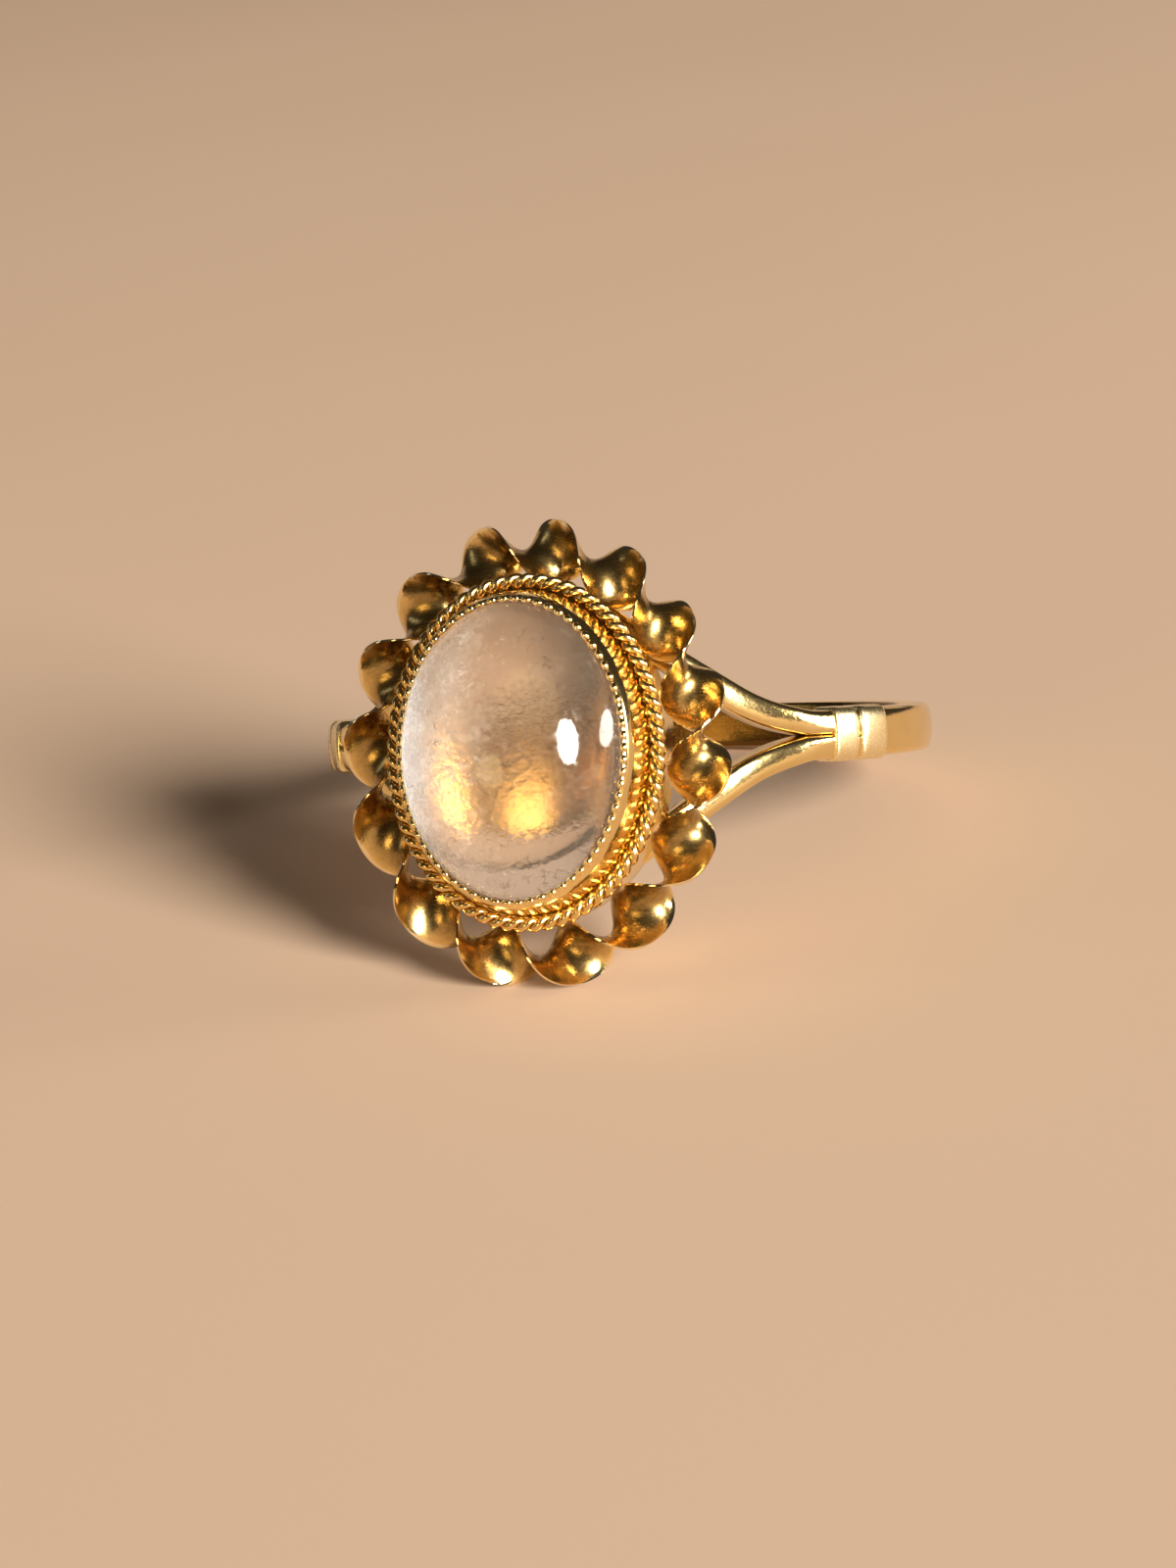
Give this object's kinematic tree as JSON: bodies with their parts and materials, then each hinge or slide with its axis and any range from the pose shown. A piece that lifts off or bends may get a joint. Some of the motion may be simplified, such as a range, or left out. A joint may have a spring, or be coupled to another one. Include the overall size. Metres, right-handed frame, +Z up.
{
  "type": "cabochon ring",
  "caption": "Finger ring with an oval cabochon in a bezel, a twisted-wire rope and a twisted ribbon frame round it, and split shoulders on a thin band.",
  "frame": {"origin": "bottom centre of the box round the ring as it lies on its side", "axes": "+Z up, -Y towards the head's front, +X to the right as seen from the front; the finger axis leans about 17.5 degrees from +Z towards +Y, because the tall head props the ring up"},
  "size_m": [0.0194, 0.0238, 0.013],
  "materials": {
    "gold": "polished",
    "stone": "gloss"
  },
  "bodies": {
    "root": {"ring_mount": "gold", "rope": "gold", "ribbon_frame": "gold", "stone": "stone"}
  },
  "joints": []
}
